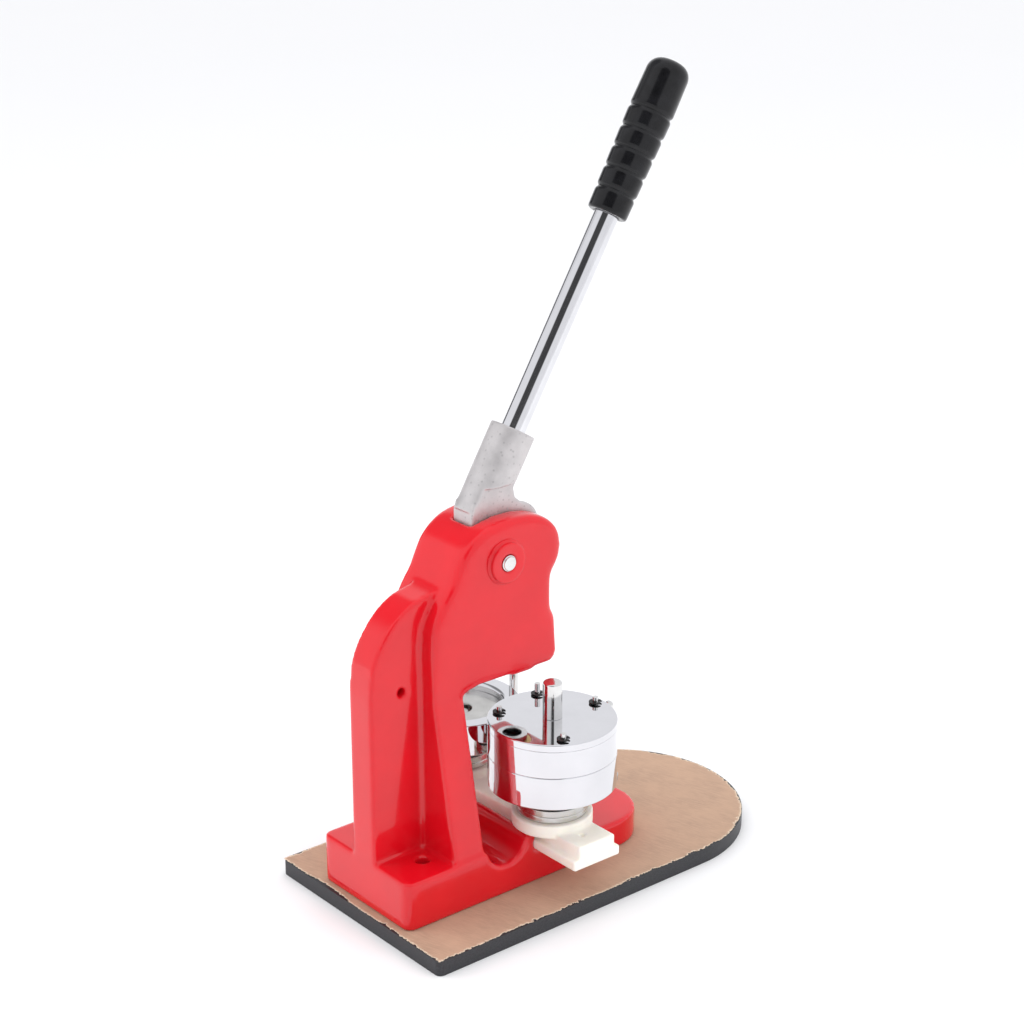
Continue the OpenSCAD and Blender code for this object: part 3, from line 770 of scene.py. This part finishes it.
class PRESS_OT_lever(Operator):
    """Adds the bare alloy lever casting and its plated rod."""

    bl_idname = "press.lever"
    bl_label = "Lever"

    def execute(self, context):
        p = context.scene.press_edges
        cast_copy("lever_casting_cast", ("lever_casting",), p.lever_cell, p.lever_passes,
                  "alloy", "lever")
        broken_edges("lever_rod", ROUND, "rod_chrome", "lever")
        return {"FINISHED"}


class PRESS_OT_grip(Operator):
    """Adds the dipped grip with its grooves and domed end."""

    bl_idname = "press.grip"
    bl_label = "Grip"

    def execute(self, context):
        g = context.scene.press_grip
        rod_free = 0.138  # bare rod between the socket and the grip
        length = 0.098
        mouth = 0.0122  # outer radius at the lower end
        widest = length * 0.67
        first, pitch = length * 0.14, length * 0.131
        profile = [(0.0076, 0.004), (0.0076, 0.0008), (0.0084, 0.0), (0.0112, 0.0), (0.0119, 0.0005),
                   (mouth, 0.0014)]

        def radius(h):
            """Swells by 1.4 mm up to the widest place, then draws in by 0.6 mm."""
            drawn = max(0.0, (h - widest) / (length * 0.33))
            return mouth + 0.0014 * min(1.0, h / widest) - 0.0006 * drawn

        def dip(h):
            """Depth of the grooves here: narrow, with rounded shoulders."""
            return sum(g.groove * math.exp(-((h - first - pitch * i) / g.width) ** 2) for i in range(g.ribs))

        bottom, last, shoulder = 0.003, first + pitch * (g.ribs - 0.5), length - g.dome
        grooved, plain, domed = 110, 8, 12  # steps along each stretch
        for k in range(grooved + 1):
            h = bottom + (last - bottom) * k / grooved
            profile.append((radius(h) - dip(h), h))
        for k in range(1, plain + 1):
            h = last + (shoulder - last) * k / plain
            profile.append((radius(h), h))
        edge = radius(shoulder)
        for k in range(1, domed):
            a = math.radians(90 * k / domed)
            profile.append((edge * math.cos(a) ** 0.62, shoulder + g.dome * math.sin(a)))
        profile.append((0.0, length))
        bm = lathe(profile, 96)
        bmesh.ops.rotate(bm, verts=bm.verts, cent=(0, 0, 0), matrix=Matrix.Rotation(-LEAN, 3, "X"))
        bmesh.ops.translate(bm, verts=bm.verts, vec=SOCKET_TOP + rod_free * LEVER_WAY)
        put("dipped_grip", bm, "vinyl", "lever", ("hand_grip",))
        return {"FINISHED"}


class PRESS_OT_ram(Operator):
    """Adds the ram and its retaining ring."""

    bl_idname = "press.ram"
    bl_label = "Ram"

    def execute(self, context):
        broken_edges("ram", 0.0005, "ram_steel", "ram")
        dress("ram_snap_ring", "black_oxide")
        return {"FINISHED"}


class PRESS_OT_slide(Operator):
    """Adds the nylon slide bar and its screws."""

    bl_idname = "press.slide"
    bl_label = "Slide Bar"

    def execute(self, context):
        p = context.scene.press_edges
        cast_copy("slide_bar_moulded", ("slide_bar",), p.moulded, p.moulded_passes,
                  "nylon", "slide")
        dress("die_fixing_screws", "zinc")
        return {"FINISHED"}


class PRESS_OT_lower_dies(Operator):
    """Adds both lower dies with their floating rings, springs and side posts."""

    bl_idname = "press.lower_dies"
    bl_label = "Lower Dies"

    def execute(self, context):
        edge = context.scene.press_edges.turned
        for side, steel in (("front", "front_steel"), ("rear", "rear_steel")):
            broken_edges(side + "_die_base", edge, steel, "slide")
            broken_edges(side + "_die_core", edge, steel, "slide")
            broken_edges(side + "_core_screw", FINE, "zinc", "slide")
            broken_edges(side + "_die_ring", edge, "mirror", side + "_ring")
            self.coil(side)
        broken_edges("post_brackets", FINE, "front_steel", "slide")
        broken_edges("side_posts", 0.0006, "bright_steel", "slide")
        return {"FINISHED"}

    def coil(self, side):
        """The wound spring under a floating ring, with closed ends."""
        lo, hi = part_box(side + "_ring_spring")
        cx, cy, _ = middle(side + "_ring_spring")
        wire = 0.0008  # the wire's radius
        radius = (hi[0] - lo[0]) / 2 - wire
        bottom, top = lo[2] + wire, hi[2] - wire
        bm = bmesh.new()
        upright = Matrix.Translation((cx + radius, cy, bottom)) @ Matrix.Rotation(math.radians(90), 4, "X")
        ring = bmesh.ops.create_circle(
            bm, cap_ends=False, segments=12, radius=wire * 0.97, matrix=upright)["verts"]
        edges = list(bm.edges)
        for turns, climb in ((0.75, 0.0), (3.5, top - bottom), (0.75, 0.0)):
            steps = round(turns * 40)
            out = bmesh.ops.spin(
                bm, geom=ring + edges, cent=(cx, cy, 0), axis=(0, 0, 1), dvec=(0, 0, climb / steps),
                angle=math.tau * turns, steps=steps, use_merge=False, use_duplicate=False)
            ring = [g for g in out["geom_last"] if isinstance(g, bmesh.types.BMVert)]
            edges = [g for g in out["geom_last"] if isinstance(g, bmesh.types.BMEdge)]
        bmesh.ops.holes_fill(bm, edges=[e for e in bm.edges if e.is_boundary], sides=20)
        bmesh.ops.recalc_face_normals(bm, faces=bm.faces)
        spring = put(side + "_coil", bm, "spring_steel", "slide", (side + "_ring_spring",))
        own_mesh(spring)


class PRESS_OT_upper_die(Operator):
    """Adds the loose upper die: ring, plate, core, post, pins and clips."""

    bl_idname = "press.upper_die"
    bl_label = "Upper Die"

    def execute(self, context):
        edge = context.scene.press_edges.turned
        broken_edges("upper_ring", edge, "mirror", "upper_die")
        broken_edges("upper_guide_pins", FINE, "bright_steel", "upper_die")
        broken_edges("locating_pin", FINE, "bright_steel", "upper_die")
        broken_edges("pin_clips", 0.00015, "black_oxide", "upper_die")
        broken_edges("upper_plate", edge, "mirror", "upper_die")
        broken_edges("upper_core", edge, "front_steel", "upper_die")
        broken_edges("upper_post", ROUND, "bright_steel", "upper_die")
        return {"FINISHED"}


# Dark zones of the studio: the way to each, its inner and outer half angles in degrees, and its depth.
# First the dark end of the room, then a dark spot to the machine's left, then a dim stretch of
# ceiling above that.
DARK_ZONES = (
    ((0.549, -0.720, 0.425), 24, 33, 0.93),
    ((-0.99, -0.05, 0.10), 9, 15, 0.85),
    ((-0.72, -0.08, 0.68), 14, 30, 0.72),
)


class PRESS_OT_stage(Operator):
    """Adds the pale floor, the soft light and the camera."""

    bl_idname = "press.stage"
    bl_label = "Stage"

    def execute(self, context):
        p = context.scene.press_stage
        bm = bmesh.new()
        bmesh.ops.create_grid(bm, x_segments=2, y_segments=2, size=14.0)
        mesh = bpy.data.meshes.new("floor")
        bm.to_mesh(mesh)
        bm.free()
        floor = bpy.data.objects.new("floor", mesh)
        f = Finish("pale_floor", tuple(p.floor), 0.8)
        f.color(f.blend(f.grain(0.5, 2), tint(tuple(p.floor), 0.985), tuple(p.floor)))
        mesh.materials.append(f.mat)
        context.scene.collection.objects.link(floor)
        context.scene.world = self.studio(p)
        self.box("left_box", (-0.95, -1.25, 0.95), (0, 0, 0.2), p.key, 0.9, 1.2)
        self.box("right_box", (1.45, 0.55, 0.95), (0, 0, 0.2), p.key * 0.7, 0.9, 1.1)
        self.box("top_box", (-0.1, 0.2, 1.9), (0, 0, 0.1), p.key * 0.9, 1.3, 1.3)

        a, e = p.turn, p.rise
        back_way = Vector((math.sin(a) * math.cos(e), -math.cos(a) * math.cos(e), math.sin(e)))
        right = Vector((math.cos(a), math.sin(a), 0))
        up = back_way.cross(right)
        turn = Matrix((right, up, back_way)).transposed().to_4x4() @ Matrix.Rotation(p.roll, 4, "Z")
        data = bpy.data.cameras.new("camera")
        data.lens = p.lens
        data.sensor_width = 36
        data.clip_start = 0.02
        camera = bpy.data.objects.new("camera", data)
        camera.matrix_world = Matrix.Translation(Vector(p.place)) @ turn
        context.scene.collection.objects.link(camera)
        context.scene.camera = camera
        context.scene.view_settings.view_transform = "Standard"
        return {"FINISHED"}

    def studio(self, p):
        """An even white room with dark zones, which only reflections see."""
        world = bpy.data.worlds.new("studio")
        world.use_nodes = True
        nodes, links = world.node_tree.nodes, world.node_tree.links
        back = nodes["Background"]
        shade = None
        for way, inner, outer, depth in DARK_ZONES:
            outer_cos, inner_cos = math.cos(math.radians(outer)), math.cos(math.radians(inner))
            zone = self.dimmed(nodes, links, Vector(way).normalized(), outer_cos, inner_cos, 1.0 - depth)
            if shade is None:
                shade = self.cut_low(nodes, links, zone, 1.0 - depth)
            else:
                both = nodes.new("ShaderNodeMath")
                both.operation = "MULTIPLY"
                links.new(shade, both.inputs[0])
                links.new(zone, both.inputs[1])
                shade = both.outputs[0]
        path = nodes.new("ShaderNodeLightPath")
        seen = nodes.new("ShaderNodeMix")
        links.new(path.outputs["Is Glossy Ray"], seen.inputs["Factor"])
        seen.inputs["A"].default_value = p.wash
        links.new(shade, seen.inputs["B"])
        power = nodes.new("ShaderNodeMath")
        power.operation = "MULTIPLY"
        power.inputs[1].default_value = p.sky
        links.new(seen.outputs["Result"], power.inputs[0])
        back.inputs["Color"].default_value = (0.97, 0.975, 1.0, 1)
        links.new(power.outputs[0], back.inputs["Strength"])
        return world

    def dimmed(self, nodes, links, way, low, high, deepest):
        """Brightness 1 where the dot product with way is under low, eased to deepest above high."""
        coord = nodes.new("ShaderNodeTexCoord")
        dot = nodes.new("ShaderNodeVectorMath")
        dot.operation = "DOT_PRODUCT"
        dot.inputs[1].default_value = way
        links.new(coord.outputs["Generated"], dot.inputs[0])
        edge = nodes.new("ShaderNodeMapRange")
        edge.interpolation_type = "SMOOTHSTEP"
        for key, v in (("From Min", low), ("From Max", high), ("To Min", 1.0), ("To Max", deepest)):
            edge.inputs[key].default_value = v
        links.new(dot.outputs["Value"], edge.inputs["Value"])
        return edge.outputs["Result"]

    def cut_low(self, nodes, links, shade, deepest):
        """Keeps the dark end above the plane square to the raised lever.

        Level tops seen from low down at the machine's front left then don't mirror it.
        """
        most = nodes.new("ShaderNodeMath")
        most.operation = "MAXIMUM"
        links.new(shade, most.inputs[0])
        links.new(self.dimmed(nodes, links, LEVER_WAY, -0.05, 0.03, deepest), most.inputs[1])
        return most.outputs[0]

    def box(self, name, at, aim, power, width, height):
        """A soft box that lights the machine and doesn't show in reflections."""
        data = bpy.data.lights.new(name, "AREA")
        data.shape = "RECTANGLE"
        data.size, data.size_y, data.energy = width, height, power
        light = bpy.data.objects.new(name, data)
        way = Vector(at) - Vector(aim)
        light.visible_glossy = False
        light.matrix_world = Matrix.Translation(at) @ way.to_track_quat("Z", "Y").to_matrix().to_4x4()
        bpy.context.scene.collection.objects.link(light)


# ---------------------------------------------------------------- panel and registration

PIECES = (PRESS_OT_board, PRESS_OT_casting, PRESS_OT_fixings, PRESS_OT_lever, PRESS_OT_grip, PRESS_OT_ram,
          PRESS_OT_slide, PRESS_OT_lower_dies, PRESS_OT_upper_die, PRESS_OT_stage)
GROUPS = {"press_finish": PressFinish, "press_edges": PressEdges, "press_grip": PressGrip,
          "press_paper": PressPaper, "press_stage": PressStage}


class PRESS_PT_panel(Panel):
    """Lists the press's pieces and settings."""

    bl_label = "Badge Press"
    bl_idname = "PRESS_PT_panel"
    bl_space_type = "VIEW_3D"
    bl_region_type = "UI"
    bl_category = "Badge Press"

    def draw(self, context):
        for op in PIECES:
            self.layout.operator(op.bl_idname)
        for key in GROUPS:
            column = self.layout.column(heading=key)
            group = getattr(context.scene, key)
            for prop in group.bl_rna.properties:
                if prop.identifier not in ("rna_type", "name"):
                    column.prop(group, prop.identifier)


CLASSES = (*GROUPS.values(), *PIECES, PRESS_PT_panel)


def register():
    for cls in CLASSES:
        bpy.utils.register_class(cls)
    for key, group in GROUPS.items():
        setattr(bpy.types.Scene, key, PointerProperty(type=group))


def unregister():
    for key in GROUPS:
        delattr(bpy.types.Scene, key)
    for cls in reversed(CLASSES):
        bpy.utils.unregister_class(cls)


def main():
    register()
    bpy.ops.press.board()
    bpy.ops.press.casting()
    bpy.ops.press.fixings()
    bpy.ops.press.lever()
    bpy.ops.press.grip()
    bpy.ops.press.ram()
    bpy.ops.press.slide()
    bpy.ops.press.lower_dies()
    bpy.ops.press.upper_die()
    bpy.ops.press.stage()


if __name__ == "__main__":
    main()
